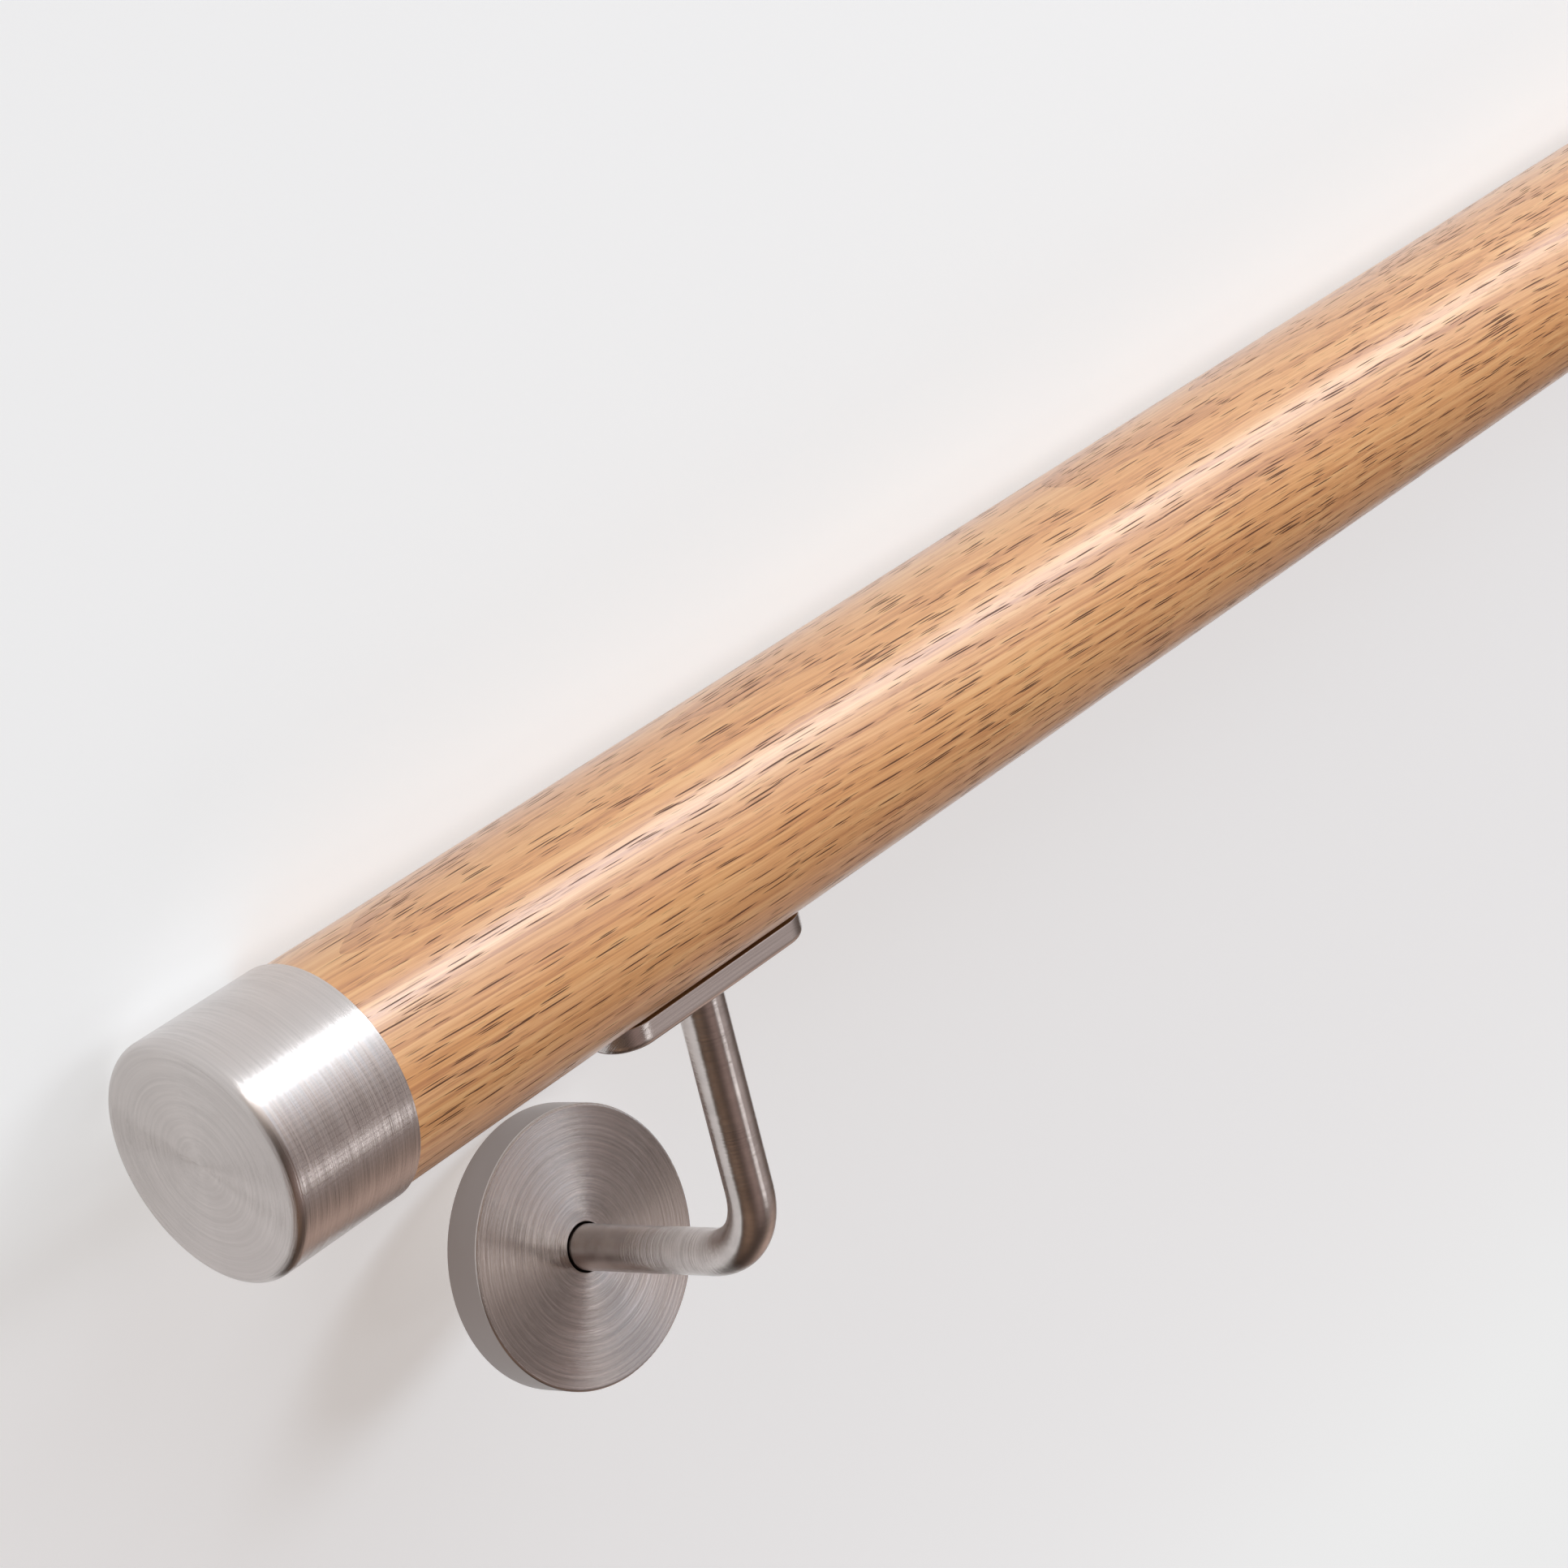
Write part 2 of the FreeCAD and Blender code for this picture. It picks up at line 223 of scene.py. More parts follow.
# %% The plank's own directions
facing_side = Vector((0, 0.86, 0.51))
slant = math.radians(2.3)
across_grain = facing_side.cross(along) * -1
fibre = along * math.cos(slant) + across_grain * math.sin(slant)
radial = facing_side.cross(fibre).normalized()
tangent = fibre.cross(radial).normalized()
print("fibres run along", [round(v, 3) for v in fibre])

# %% [markdown]
# The dashes are long thin cells of a Voronoi texture: a cell's middle is a vessel, and the distance
# from it gives a lens-shaped dash wherever the rail's surface cuts the cell. Cells near the start of
# a year ring are kept, and most of the others are dropped.
# Fine streaks and slow drifts of colour lie under them. The lacquer lies over all: it fills the
# vessels only in part, so they break the gloss and dent the surface a little.

# %% Oak under satin lacquer
def oak_finish():
    material, r = new_finish("oak_satin_lacquer")
    place = r.vector("SUBTRACT", r.add("ShaderNodeTexCoord", output="Object"), tuple(rail_axis))
    wander_reach = 0.0008
    wander = r.add("ShaderNodeTexNoise", None, {"Vector": place, "Scale": 40.0, "Detail": 1.0})
    wander = r.vector("SUBTRACT", wander.also("Color"), (0.5, 0.5, 0.5))
    place = r.vector("ADD", place, r.stretch(wander, wander_reach))
    s = r.dot(place, tuple(fibre))
    a = r.dot(place, tuple(radial))
    b = r.dot(place, tuple(tangent))

    ring_width = 0.0024
    pith_a, pith_b = 0.11, 0.066
    sway = r.noise(r.triple(s * 6, a * 30, b * 30), detail=2.0) - 0.5
    from_pith = r.vector("LENGTH", r.triple(a + pith_a, b + pith_b, 0.0), output="Value")
    year = from_pith / ring_width + sway * 4
    within_year = year.maths("FRACT", year)
    early = within_year.smooth_step(0.65, 0.18)
    ring_line = within_year.smooth_step(0.14, 0.02)

    def dashes(length, spacing, widest, offset):
        """Lens-shaped dashes of many widths, and a random number for each."""
        spread = r.triple(s / length + offset, a / spacing, b / spacing)
        cell = r.add("ShaderNodeTexVoronoi", {"feature": "F1"}, {"Vector": spread, "Scale": 1.0})
        chance = r.add("ShaderNodeSeparateColor", None, {"Color": cell.also("Color")})
        reach = cell / (chance.also("Green") * 0.7 + 0.5)
        return reach.smooth_step(widest, widest * 0.7), chance

    vessel, vessel_chance = dashes(length=0.0150, spacing=0.00042, widest=0.40, offset=0.0)
    fine, fine_chance = dashes(length=0.0070, spacing=0.00026, widest=0.36, offset=3.7)
    vessel = vessel * (early * 0.60 + 0.36 - vessel_chance).smooth_step(0.0, 0.12)
    fine = fine * (early * 0.4 + 0.45 - fine_chance).smooth_step(0.0, 0.3)
    pores = vessel.maths("MAXIMUM", vessel, fine * 0.4)

    grain = r.noise(r.triple(s * 9, a * 1100, b * 1100), detail=3.0, roughness=0.6)
    streaks = r.noise(r.triple(s * 14, a * 2600, b * 2600), detail=4.0, roughness=0.65)
    drift = r.noise(r.triple(s * 8, a * 140, b * 140), detail=2.0)
    rays = r.noise(r.triple(s * 150, a * 520, b * 520), detail=2.0)
    fine_lines = (grain - 0.5) * 1.8 + (streaks - 0.5) * 1.3 - ring_line * 0.18
    tone = fine_lines + (drift - 0.5) * 0.5 + (rays - 0.5) * 0.25 + (early - 0.5) * -0.2 + 0.5
    wood = r.add("ShaderNodeValToRGB", {"stops": [
        (0.10, (0.505, 0.189, 0.045)),
        (0.50, (0.680, 0.302, 0.089)),
        (0.90, (0.795, 0.426, 0.157)),
    ]}, {"Fac": tone})
    vessel_brown = (0.085, 0.027, 0.008, 1)
    colour = r.mix(pores * 0.95, wood, vessel_brown)

    pore_depth = 0.00012
    height = (streaks - 0.5) * 0.15 - pores
    bump = r.add("ShaderNodeBump", None, {"Height": height, "Strength": 0.5, "Distance": pore_depth})
    finish_surface(r, {
        "Base Color": colour,
        "Roughness": 0.38 + pores * 0.25,
        "Specular IOR Level": 0.5,
        "Normal": bump,
        "Coat Weight": 0.95 - pores * 0.85,
        "Coat Roughness": 0.28,
        "Coat IOR": 2.0,
    })
    return material


oak = oak_finish()
print("oak finish has", len(oak.node_tree.nodes), "nodes")

# %% [markdown]
# Brushed steel looks as it does because of its scratches: each one tips the surface to both sides of
# the brushing direction, and so it smears highlights across itself. Tilting the surface normal by a
# very fine noise does the same, and only needs to know which way the scratches run.
# The rosette's face and the caps' end faces were brushed on a lathe, in rings, so there the normal
# tips along the radius. The caps' sides were brushed round, so there it tips along the rail.
# On a cap's side the radius is the normal itself, so the rings do nothing there and one rule serves both.
# Plain noise has few steep slopes. Folding it over many times gives grooves with all slopes alike, and
# those draw the bright fans of a turned face. On the rosette the scratches also swirl: they cross the
# rings at an angle, which turns its fans. Its side wall is rougher, and its grey is painted darker: painted
# shade for the dark room it reflects.

# %% Scratches of turned steel
STEEL = (0.70, 0.655, 0.635, 1)
STEEL_IN_SCRATCH = (0.58, 0.541, 0.524, 1)
PAINTED_SHADE_STEEL = (0.36, 0.32, 0.305, 1)
HAIRLINE = 0.00003
STREAK = 0.0005
GROOVE_FOLDS = 12


def scratches(r, run, across):
    """Noise from hairlines too fine to see one by one, and from the streaks that do show."""
    hairlines = r.noise(r.vector("ADD", run, r.triple(across / HAIRLINE, 0.0, 0.0)), detail=2.0)
    streaks = r.noise(r.vector("ADD", run, r.triple(across / STREAK, 0.0, 0.0)), detail=2.0)
    return hairlines, streaks


def tipped(r, direction, hairlines, streaks, tilt, streak_tilt=0.03):
    """How far, and which way, the scratches tip the normal."""
    return r.stretch(direction, (hairlines - 0.5) * tilt + (streaks - 0.5) * streak_tilt)


def ring_scratches(r, from_axis, phase, tilt, axis, swirl=0.0):
    """Tilt of the normal along the radius, from turned grooves whose flanks have all slopes alike."""
    radius = r.vector("LENGTH", from_axis, output="Value")
    outward = r.vector("NORMALIZE", from_axis)
    run = r.vector("ADD", r.stretch(outward, 0.6), r.triple(0.0, phase, 0.0))
    hairlines, streaks = scratches(r, run, radius)
    flanks = hairlines.maths("PINGPONG", hairlines * GROOVE_FOLDS, 1.0)
    round_axis = r.vector("CROSS_PRODUCT", tuple(axis), outward)
    across = r.vector("ADD", r.stretch(outward, math.cos(swirl)), r.stretch(round_axis, math.sin(swirl)))
    return tipped(r, across, flanks, streaks, tilt), streaks


def steel_surface(r, tilts, streaks, roughness, dull_and_painted_shade=None):
    """Metal whose normal is tipped by scratches, with the grey varied a little by them."""
    normal = r.add("ShaderNodeNewGeometry", output="Normal")
    for tip in tilts:
        normal = r.vector("ADD", normal, tip)
    colour = r.mix(streaks.smooth_step(0.25, 0.75), STEEL_IN_SCRATCH, STEEL)
    roughness = roughness + (streaks - 0.5) * 0.06
    if dull_and_painted_shade:
        # Painted shade: where the side wall turns away from the front, its grey is darkened to stand for
        # the dark room it reflects; it is also made rougher.
        colour = r.mix(dull_and_painted_shade, colour, PAINTED_SHADE_STEEL)
        roughness = roughness + dull_and_painted_shade * 0.2
    finish_surface(r, {
        "Base Color": colour,
        "Metallic": 1.0,
        "Roughness": roughness,
        "Normal": r.vector("NORMALIZE", normal),
    })


def cap_finish():
    material, r = new_finish("steel_cap_brushed")
    place = r.vector("SUBTRACT", r.add("ShaderNodeTexCoord", output="Object"), tuple(rail_axis))
    x = r.dot(place, tuple(along))
    from_axis = r.vector("MULTIPLY", place, (0, 1, 1))
    own_phase = x.maths("SIGN", x) * 5
    rings, ring_streaks = ring_scratches(r, from_axis, own_phase, tilt=0.75, axis=along)
    hairlines, round_streaks = scratches(r, r.vector("NORMALIZE", from_axis), x)
    round_tip = tipped(r, tuple(along), hairlines, round_streaks, tilt=1.6)
    steel_surface(r, [rings, round_tip], (ring_streaks + round_streaks) * 0.5, roughness=0.23)
    return material


def rosette_finish():
    material, r = new_finish("steel_rosette_turned")
    place = r.add("ShaderNodeTexCoord", output="Object")
    x = r.dot(place, tuple(along))
    side = x.maths("SIGN", x)
    rise = r.dot(r.vector("SUBTRACT", place, tuple(wall_middle)), tuple(up))
    across = r.stretch(tuple(along), x - side * bracket_x)
    from_axis = r.vector("ADD", across, r.stretch(tuple(up), rise))
    facing_out = r.dot(r.add("ShaderNodeNewGeometry", output="Normal"), tuple(out))
    face_tilt = facing_out.smooth_step(0.3, 0.8) * 1.3
    swirl = math.radians(-38)
    rings, ring_streaks = ring_scratches(r, from_axis, side * 3, face_tilt, out, swirl)
    # Mask of the rosette's side wall, where the grey is painted darker as painted shade and the surface is
    # rougher.
    side_wall = facing_out.smooth_step(0.45, 0.15)
    steel_surface(r, [rings], ring_streaks, roughness=0.15, dull_and_painted_shade=side_wall)
    return material


cap_steel = cap_finish()
rosette_steel = rosette_finish()
print("turned steel:", cap_steel.name, rosette_steel.name)

# %% [markdown]
# The saddle plate is flat bar, brushed along its length, so its normals tip across the bar.
# The rod was polished while it turned, so its fine marks run round it and the normal tips along it,
# following the bend: the angle seen from the bend's middle tells how far the rod has turned.
# The wall flange is hidden under the rosette and was left as it was cut from sheet.

# %% Bar, rod and sheet steel
def saddle_finish():
    material, r = new_finish("steel_bar_brushed")
    place = r.add("ShaderNodeTexCoord", output="Object")
    bar_across = upright.cross(along)
    s = r.dot(place, tuple(along))
    w = r.dot(place, tuple(bar_across))
    d = r.dot(place, tuple(upright))
    hairlines, streaks = scratches(r, r.triple(0.0, s * 25, 0.0), w + d)
    tips = [tipped(r, tuple(direction), hairlines, streaks, tilt=1.0, streak_tilt=0.12)
            for direction in (bar_across, upright)]
    steel_surface(r, tips, streaks, roughness=0.22)
    return material


def rod_finish():
    material, r = new_finish("steel_rod_polished")
    place = r.add("ShaderNodeTexCoord", output="Object")
    from_bend = r.vector("SUBTRACT", place, tuple(bend_middle))
    outwards = r.dot(from_bend, tuple(out))
    turn = outwards.maths("ARCTAN2", outwards, r.dot(from_bend, tuple(-up)))
    turn = turn.maths("MINIMUM", turn.maths("MAXIMUM", turn, 0.0), bend_angle)
    stub_part = r.stretch(tuple(out), turn.maths("COSINE", turn))
    direction = r.vector("ADD", stub_part, r.stretch(tuple(up), turn.maths("SINE", turn)))
    hairlines, _ = scratches(r, r.stretch(place, 60.0), r.dot(place, direction))
    cloud = r.add("ShaderNodeTexNoise", None, {"Vector": place, "Scale": 210.0, "Detail": 4.0})
    rod_tip = r.stretch(direction, (hairlines - 0.5) * 0.9)
    steel_surface(r, [rod_tip], cloud, roughness=0.21)
    return material


def flange_finish():
    material, r = new_finish("steel_sheet_plain")
    place = r.add("ShaderNodeTexCoord", output="Object")
    marks = r.add("ShaderNodeTexNoise", None, {"Vector": place, "Scale": 700.0, "Detail": 4.0})
    tips = r.vector("SUBTRACT", marks.also("Color"), (0.5, 0.5, 0.5))
    steel_surface(r, [r.stretch(tips, 0.3)], marks, roughness=0.42)
    return material


saddle_steel = saddle_finish()
rod_steel = rod_finish()
flange_steel = flange_finish()
finishes = {
    "end_cap": cap_steel,
    "cover_rosette": rosette_steel,
    "saddle_plate": saddle_steel,
    "arm": rod_steel,
    "wall_flange": flange_steel,
}
for node_name, node in frame["nodes"].items():
    kind = node_name.rsplit("_", 1)[0]
    if kind in finishes:
        node.material_slots[0].material = finishes[kind]
print("steel finishes on", len(frame["nodes"]) - 1, "nodes")

# %% [markdown]
# The rail itself is a rule: a circle drawn along a line. The measured model has it with few faces,
# which would show as flats in the gloss, so Geometry Nodes draw it again with many.
# The tree's inputs are its length, radius and place, so another rail only needs other numbers.

# %% Run a Geometry Nodes tree
def new_tree(name, inputs):
    """An empty geometry tree with named inputs, and the sockets' wires by name."""
    tree = bpy.data.node_groups.new(name, "GeometryNodeTree")
    for label, kind in inputs.items():
        tree.interface.new_socket(label, in_out="INPUT", socket_type=f"NodeSocket{kind}")
    tree.interface.new_socket("Geometry", in_out="OUTPUT", socket_type="NodeSocketGeometry")
    recipe = Recipe(tree)
    source = recipe.add("NodeGroupInput")
    return tree, recipe, {label: source.also(label) for label in inputs}


def close_tree(recipe, geometry, material):
    """The two nodes that every tree ends in, and its output."""
    real = recipe.add("GeometryNodeRealizeInstances", None, {"Geometry": geometry})
    dressed = recipe.add("GeometryNodeSetMaterial", None, {"Geometry": real, "Material": material})
    recipe.add("NodeGroupOutput", None, {"Geometry": dressed})


def make_piece(name, tree, values):
    """Run a tree with these values and keep the result as a plain mesh that rides on the part."""
    maker = bpy.data.objects.new(f"{name}_maker", bpy.data.meshes.new(f"{name}_maker"))
    bpy.context.scene.collection.objects.link(maker)
    modifier = maker.modifiers.new("maker", "NODES")
    modifier.node_group = tree
    for item in tree.interface.items_tree:
        if item.in_out == "INPUT":
            modifier[item.identifier] = values[item.name]
    depsgraph = bpy.context.evaluated_depsgraph_get()
    mesh = bpy.data.meshes.new_from_object(maker.evaluated_get(depsgraph))
    maker.modifiers.remove(modifier)
    bpy.data.objects.remove(maker)
    mesh.name = name
    piece = bpy.data.objects.new(name, mesh)
    bpy.context.scene.collection.objects.link(piece)
    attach(piece, "root")
    print(name, len(mesh.polygons), "faces")
    return piece


# %% The oak rail
def rail_tree():
    inputs = {"Half Length": "Float", "Radius": "Float", "Axis": "Vector", "Sides": "Int",
              "Material": "Material"}
    tree, r, given = new_tree("rail_along_its_axis", inputs)
    reach = given["Half Length"]
    line = r.add("GeometryNodeCurvePrimitiveLine", None, {
        "Start": r.triple(reach * -1, 0.0, 0.0), "End": r.triple(reach, 0.0, 0.0)})
    steps = r.add("GeometryNodeResampleCurve", None, {"Curve": line, "Count": 120})
    ring = r.add("GeometryNodeCurvePrimitiveCircle", None, {
        "Radius": given["Radius"], "Resolution": given["Sides"]})
    bar = r.add("GeometryNodeCurveToMesh", None, {"Curve": steps, "Profile Curve": ring, "Fill Caps": True})
    placed = r.add("GeometryNodeTransform", None, {"Geometry": bar, "Translation": given["Axis"]})
    smooth = r.add("GeometryNodeSetShadeSmooth", None, {"Geometry": placed, "Shade Smooth": True})
    close_tree(r, smooth, given["Material"])
    return tree


rail = make_piece("oak_rail_fine", rail_tree(), {
    "Half Length": rail_half_length,
    "Radius": rail_radius,
    "Axis": rail_axis,
    "Sides": 192,
    "Material": oak,
})
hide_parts("oak_rail")

# %% [markdown]
# Each saddle plate is held by two countersunk wood screws. They are the same screw four times, so
# one screw is built once and set on four points; a random turn, with a fixed seed, leaves their cross
# slots as a fitter would. The cone of the head is set a little below the plate's face.
# The slot is cut with a boolean, as the punch does it, from two crossed bars.

# %% The saddle screws
def screw_tree():
    inputs = {"Bracket X": "Float", "Spacing": "Float", "Middle": "Vector", "Tip": "Float",
              "Material": "Material"}
    tree, r, given = new_tree("countersunk_screws", inputs)
    head_depth, head_radius, shank_radius = 0.0022, 0.0043, 0.0021
    shank_length, sunk = 0.0026, 0.00015
    slot_length, slot_width, slot_depth = 0.0040, 0.0009, 0.0016
    head = r.add("GeometryNodeMeshCone", None, {
        "Vertices": 48, "Radius Top": head_radius, "Radius Bottom": shank_radius, "Depth": head_depth})
    shank = r.add("GeometryNodeMeshCylinder", None, {
        "Vertices": 32, "Radius": shank_radius, "Depth": shank_length})
    lower = r.add("GeometryNodeTransform", None, {"Geometry": shank, "Translation": (0, 0, -shank_length)})
    slots = r.add("GeometryNodeJoinGeometry")
    for size in ((slot_length, slot_width, slot_depth), (slot_width, slot_length, slot_depth)):
        bar = r.add("GeometryNodeMeshCube", None, {"Size": size})
        r.feed(slots.socket.node.inputs[0], bar)
    slots = r.add("GeometryNodeTransform", None, {"Geometry": slots, "Translation": (0, 0, head_depth)})
    cut = r.add("GeometryNodeMeshBoolean", {"operation": "DIFFERENCE"}, {"Mesh 1": head, "Mesh 2": slots})
    screw = r.add("GeometryNodeJoinGeometry")
    for shape in (cut, lower):
        r.feed(screw.socket.node.inputs[0], shape)
    screw = r.add("GeometryNodeTransform", None, {
        "Geometry": screw, "Translation": (0, 0, -head_depth - sunk)})

    index = r.add("GeometryNodeInputIndex")
    side = index.maths("FLOOR", index / 2) * 2 - 1
    pair = index.maths("MODULO", index, 2.0) * 2 - 1
    x = side * given["Bracket X"] + pair * given["Spacing"] * 0.5
    spots = r.add("GeometryNodePoints", None, {
        "Count": 4, "Position": r.vector("ADD", given["Middle"], r.triple(x, 0.0, 0.0))})
    placed = r.add("GeometryNodeInstanceOnPoints", None, {
        "Points": spots, "Instance": screw, "Rotation": r.triple(given["Tip"], 0.0, 0.0)})
    chance = r.add("FunctionNodeRandomValue", {"data_type": "FLOAT"}, {
        2: 0.0, 3: math.pi / 2, "Seed": 7}, output=1)
    turned = r.add("GeometryNodeRotateInstances", None, {
        "Instances": placed, "Rotation": r.triple(0.0, 0.0, chance), "Local Space": True})
    flat = r.add("GeometryNodeSetShadeSmooth", None, {"Geometry": turned, "Shade Smooth": False})
    close_tree(r, flat, given["Material"])
    return tree


plate_face = rail_axis - upright * (rail_radius + saddle_thickness)
plate_tip = math.atan2(upright.y, -upright.z)
screw_spacing = 0.036
make_piece("saddle_screws", screw_tree(), {
    "Bracket X": bracket_x,
    "Spacing": screw_spacing,
    "Middle": plate_face,
    "Tip": plate_tip,
    "Material": rod_steel,
})

# %% [markdown]
# The rod is welded to the plate and ground almost clean. What stays is a thin, slightly uneven ring.
# It is a circle with a small round profile swept along it, and noise moves it a few hundredths of a
# millimetre.

# %% The weld rings
def weld_tree():
    inputs = {"Bracket X": "Float", "Radius": "Float", "Middle": "Vector", "Tip": "Float",
              "Material": "Material"}
    tree, r, given = new_tree("weld_rings", inputs)
    bead_radius, unevenness = 0.00055, 0.00022
    ring = r.add("GeometryNodeCurvePrimitiveCircle", None, {"Radius": given["Radius"], "Resolution": 160})
    profile = r.add("GeometryNodeCurvePrimitiveCircle", None, {"Radius": bead_radius, "Resolution": 16})
    bead = r.add("GeometryNodeCurveToMesh", None, {"Curve": ring, "Profile Curve": profile})
    side = r.add("GeometryNodeInputIndex") * 2 - 1
    x = side * given["Bracket X"]
    spots = r.add("GeometryNodePoints", None, {
        "Count": 2, "Position": r.vector("ADD", given["Middle"], r.triple(x, 0.0, 0.0))})
    placed = r.add("GeometryNodeInstanceOnPoints", None, {
        "Points": spots, "Instance": bead, "Rotation": r.triple(given["Tip"], 0.0, 0.0)})
    real = r.add("GeometryNodeRealizeInstances", None, {"Geometry": placed})
    jitter = r.add("ShaderNodeTexNoise", None, {"Scale": 900.0, "Detail": 1.0}).also("Color")
    jitter = r.stretch(r.vector("SUBTRACT", jitter, (0.5, 0.5, 0.5)), unevenness)
    uneven = r.add("GeometryNodeSetPosition", None, {"Geometry": real, "Offset": jitter})
    smooth = r.add("GeometryNodeSetShadeSmooth", None, {"Geometry": uneven, "Shade Smooth": True})
    close_tree(r, smooth, given["Material"])
    return tree


make_piece("weld_rings", weld_tree(), {
    "Bracket X": bracket_x,
    "Radius": rod_radius,
    "Middle": plate_face,
    "Tip": plate_tip,
    "Material": rod_steel,
})

# %% [markdown]
# The object lies on a pale floor. The floor is lifted for the camera and for mirror-like rays, so that it
# reads as near white and still keeps the object's shadow. Its paint comes in three zones that look alike in
# full light. Behind the rail, where the shadow falls, the paint is pale and the lift low. In front of the
# rail the paint is darker, because oak throws warm light on what is close to it. Far away the paint is
# nearly black and the lift does all the work, which keeps the lamps' pools of light out of sight.

# %% The floor
def floor_finish():
    material, r = new_finish("pale_floor")
    path = r.add("ShaderNodeLightPath", output="Is Camera Ray")
    seen = path.maths("MAXIMUM", path, path.also("Is Glossy Ray"))
    seen = path.maths("MAXIMUM", seen, path.also("Is Transmission Ray"))
    place = r.add("ShaderNodeTexCoord", output="Object")
    behind = r.dot(place, (0, 1, 0)).smooth_step(0.06, -0.03)
    oval = (0.55, 1, 0)
    distance = r.vector("LENGTH", r.vector("MULTIPLY", place, oval), output="Value")
    near = distance.smooth_step(0.80, 0.35)
    in_shadow = behind * distance.smooth_step(0.80, 0.25)
    paint_far, paint_front = (0.012, 0.012, 0.012, 1), (0.45, 0.465, 0.475, 1)
    paint_behind = (0.72, 0.79, 0.84, 1)
    lift_far, lift_front = (0.83, 0.83, 0.83, 1), (0.595, 0.591, 0.588, 1)
    lift_behind = (0.40, 0.36, 0.335, 1)
    paint = r.mix(in_shadow, r.mix(near, paint_far, paint_front), paint_behind)
    glow = r.mix(in_shadow, r.mix(near, lift_far, lift_front), lift_behind)
    matt = r.add("ShaderNodeBsdfDiffuse", None, {"Color": paint})
    lift = r.add("ShaderNodeEmission", None, {"Color": glow, "Strength": seen})
    both = r.add("ShaderNodeAddShader", None, {0: matt, 1: lift})
    r.add("ShaderNodeOutputMaterial", None, {"Surface": both})
    return material


floor_half = 20.0
floor_mesh = bpy.data.meshes.new("floor")
corners = [(x * floor_half, y * floor_half, 0) for x, y in ((-1, -1), (1, -1), (1, 1), (-1, 1))]
floor_mesh.from_pydata(corners, [], [(0, 1, 2, 3)])
floor = bpy.data.objects.new("floor", floor_mesh)
floor.data.materials.append(floor_finish())
bpy.context.scene.collection.objects.link(floor)
print("floor", 2 * floor_half, "m wide")

# %% [markdown]
# Steel shows mostly what is round it, so the room matters more than the lamps. A picture of a room could
# be wrapped round the scene. A few soft patches of brightness do the same and are easy to change: pale
# ones low on the window's side, a few higher up, and dim brown ones for the rest of the room.
# Matt surfaces get half of it, because the lamps light those.

# %% The room
room_shade = (0.045, 0.032, 0.026)
patch_sharpness = 14.0
patches = [  # compass angle, height angle, brightness
    (30, 4, (0.60, 0.78, 0.94)),
    (60, 4, (0.90, 1.00, 1.10)),
    (90, 4, (1.20, 1.12, 1.04)),
    (120, 4, (0.80, 0.72, 0.66)),
    (150, 4, (0.40, 0.36, 0.33)),
    (36, 28, (0.45, 0.39, 0.37)),
    (72, 28, (0.54, 0.46, 0.42)),
    (0, 52, (0.42, 0.37, 0.36)),
    (180, 80, (0.32, 0.23, 0.21)),
    (308, 24, (0.55, 0.41, 0.35)),
    (216, 28, (0.25, 0.16, 0.11)),
]


def room():
    world = bpy.data.worlds.new("soft_room")
    world.use_nodes = True
    bpy.context.scene.world = world
    r = Recipe(world.node_tree)
    direction = r.add("ShaderNodeTexCoord", output="Generated")
    total = room_shade
    for compass, height, brightness in patches:
        turn, rise = math.radians(compass), math.radians(height)
        middle = (math.cos(rise) * math.cos(turn), math.cos(rise) * math.sin(turn), math.sin(rise))
        nearness = (r.dot(direction, middle) - 1) * patch_sharpness
        patch = r.stretch(brightness, nearness.maths("EXPONENT", nearness))
        total = r.vector("ADD", patch, total)
    on_matt = r.add("ShaderNodeLightPath", output="Is Diffuse Ray")
    strength = 1 - on_matt * 0.5
    light = r.add("ShaderNodeBackground", None, {"Color": total, "Strength": strength})
    r.add("ShaderNodeOutputWorld", None, {"Surface": light})


room()
print("room of", len(patches), "soft patches")

# %% [markdown]
# The lights are what a small studio has. Low panes draw one soft line down the rail and light it from
# the front, and a small light overhead edges the rods. A broad light and a higher one give the rest of
# the shade and throw the shadow towards the brackets, and a weak light fills in from behind. The broad,
# the high and the weak one are kept out of reflections, so that gloss and shade can be set apart.

# %% The lights
def soft_light(name, place, aim, width, height, radiance, colour=(1, 1, 1), on_gloss=True):
    """A rectangle of light whose brightness is given as seen, whatever its size."""
    light = bpy.data.lights.new(name, "AREA")
    light.shape = "RECTANGLE"
    light.size = width
    light.size_y = height
    light.energy = radiance * math.pi * width * height
    light.color = colour
    lamp = bpy.data.objects.new(name, light)
    lamp.location = place
    lamp.rotation_euler = (aim - place).to_track_quat("-Z", "Y").to_euler()
    lamp.visible_camera = False
    lamp.visible_glossy = on_gloss
    bpy.context.scene.collection.objects.link(lamp)
    print(name, "at", [round(v, 2) for v in place])


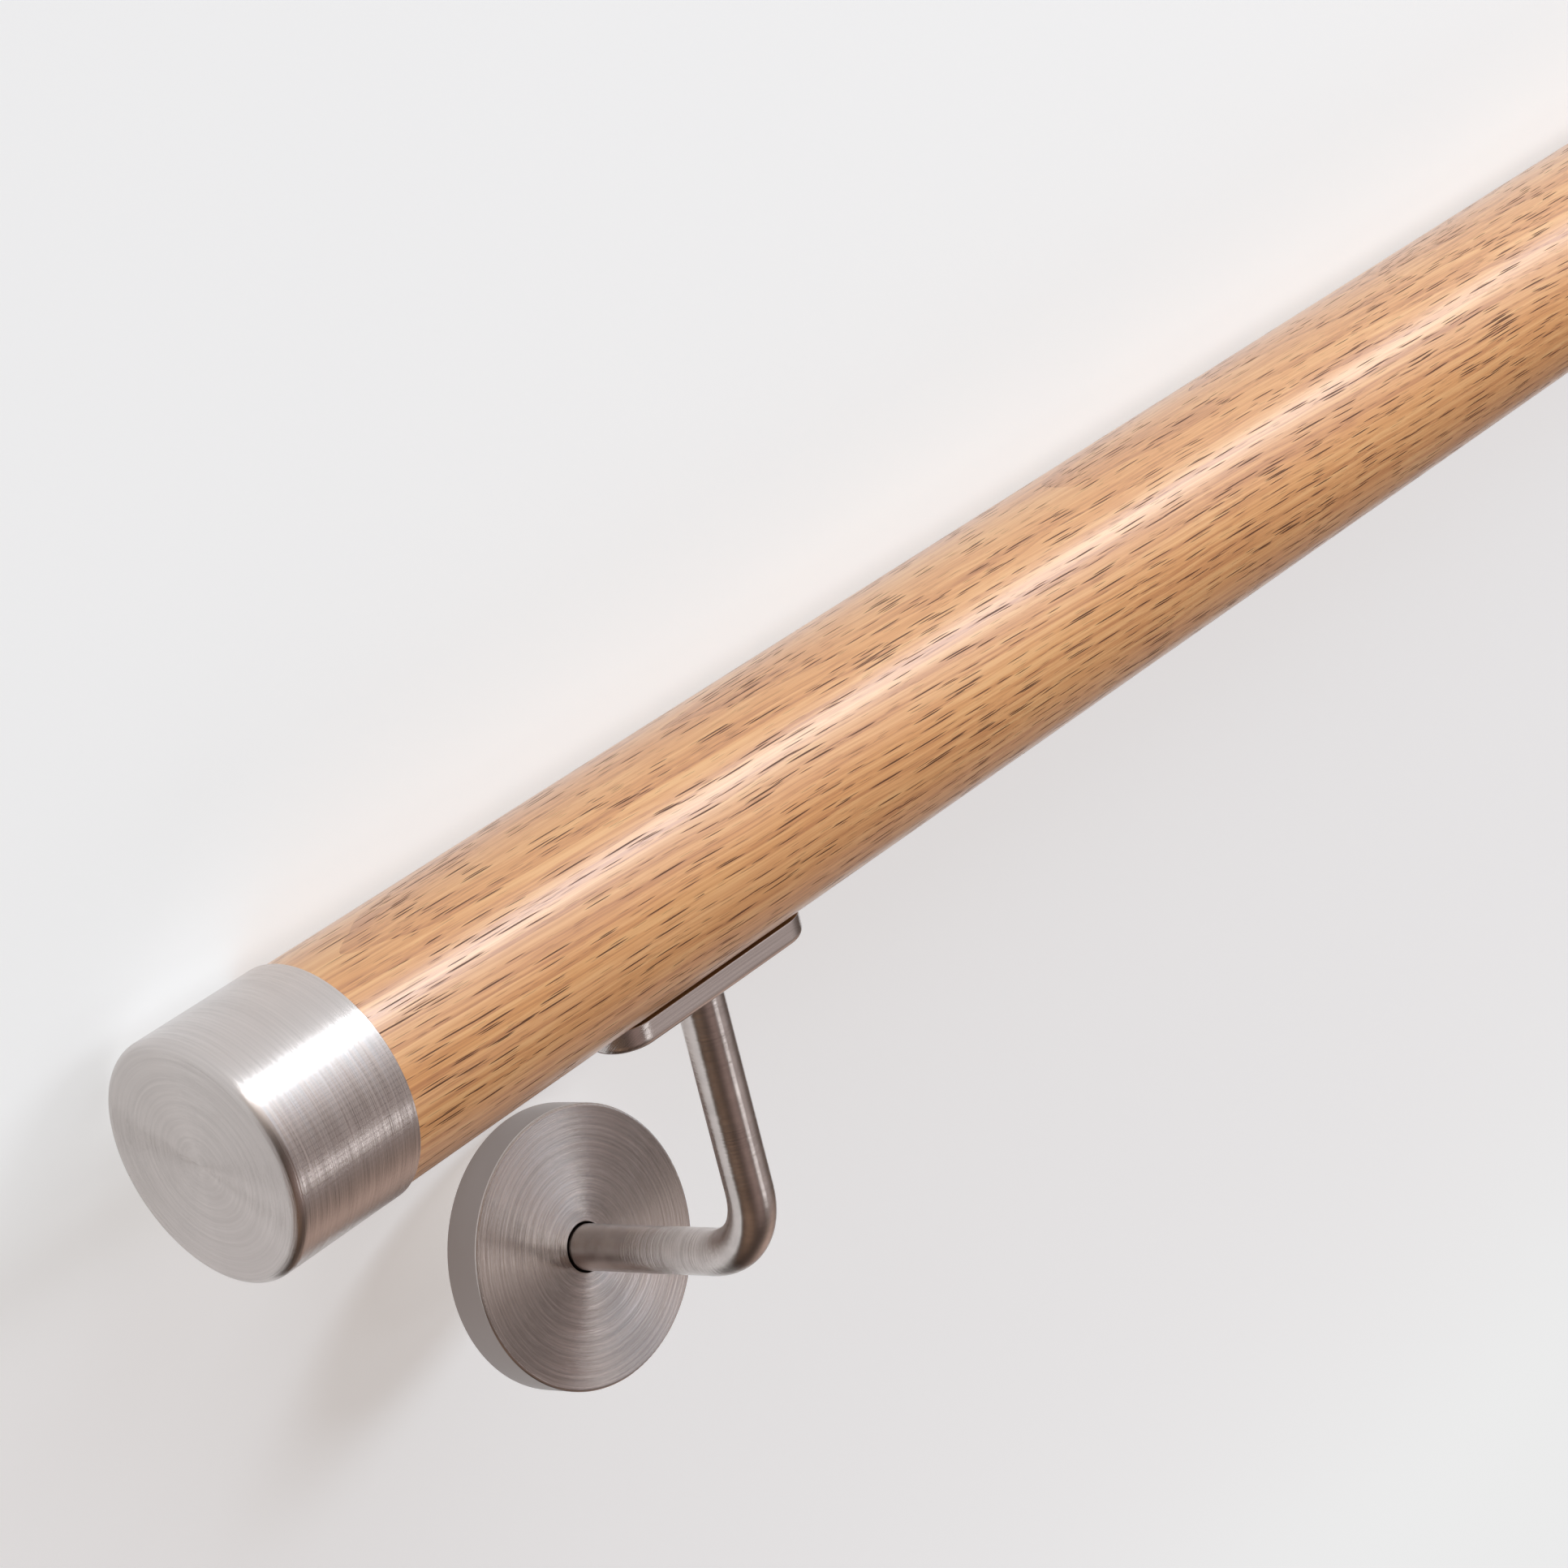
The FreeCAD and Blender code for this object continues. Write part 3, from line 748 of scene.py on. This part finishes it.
panes = [  # name, left end, width, height, brightness
    ("left", -0.7, 1.0, 0.22, 5.2),
    ("middle", 0.3, 0.9, 0.28, 2.8),
    ("right", 1.2, 0.9, 0.32, 1.4),
]
pane_from_rail = 1.1
pane_sill = 0.01
for pane, left_end, width, height, radiance in panes:
    middle = Vector((left_end + width / 2, rail_axis.y + pane_from_rail, pane_sill + height / 2))
    soft_light(f"window_pane_{pane}", middle, middle - Vector((0, 1, 0)), width, height, radiance,
               colour=(0.93, 1.0, 1.07))
soft_light("broad_soft_light", Vector((0.1, 1.85, 0.42)), Vector((-0.3, 0, 0)), 2.8, 0.8, 1.6,
           colour=(0.94, 1.0, 1.10), on_gloss=False)
soft_light("high_soft_light", Vector((0.76, 1.14, 1.34)), Vector((-0.2, 0, 0)), 0.9, 0.9, 5.4,
           colour=(0.97, 1.0, 1.05), on_gloss=False)
soft_light("back_fill", Vector((0.1, -1.75, 0.9)), Vector((0, 0, 0)), 2.6, 1.2, 0.85, on_gloss=False)
overhead_middle = Vector((0.17, 0.06, 1.60))
soft_light("overhead_light", overhead_middle, overhead_middle - Vector((0, 0, 1)), 0.5, 0.3, 1.7)

# %% [markdown]
# The camera was found from the photograph's own outlines: two edges of the rail, the ellipses of cap
# and rosette, and the rod. It stands left of the bracket, looks at the rail just past it, and is rolled
# so that the wall's up direction leans to the left.

# %% The camera
image_side_px = 1932
focal_px = 5181.9
sensor_mm = 36.0
camera_place = on_wall(-0.4849, 0.2920, 0.6449)
camera_aim = on_wall(0.0346, 0.0829, 0.0740)
camera_roll = math.radians(20.3)
ahead = (camera_aim - camera_place).normalized()
level = ahead.cross(up).normalized()
above = level.cross(ahead)
camera_up = above * math.cos(camera_roll) + level * math.sin(camera_roll)
camera_right = ahead.cross(camera_up)
camera_data = bpy.data.cameras.new("camera")
camera_data.sensor_width = sensor_mm
camera_data.lens = sensor_mm * focal_px / image_side_px
camera_data.clip_start = 0.01
camera = bpy.data.objects.new("camera", camera_data)
turned = Matrix((camera_right, camera_up, -ahead)).transposed().to_4x4()
camera.matrix_world = Matrix.Translation(camera_place) @ turned
bpy.context.scene.collection.objects.link(camera)
bpy.context.scene.camera = camera
print("camera", round((camera_aim - camera_place).length, 3), "m from its aim")

# %% [markdown]
# Last, the view is set to show colours as they are written.

# %% Colours as written
bpy.context.scene.view_settings.view_transform = "Standard"
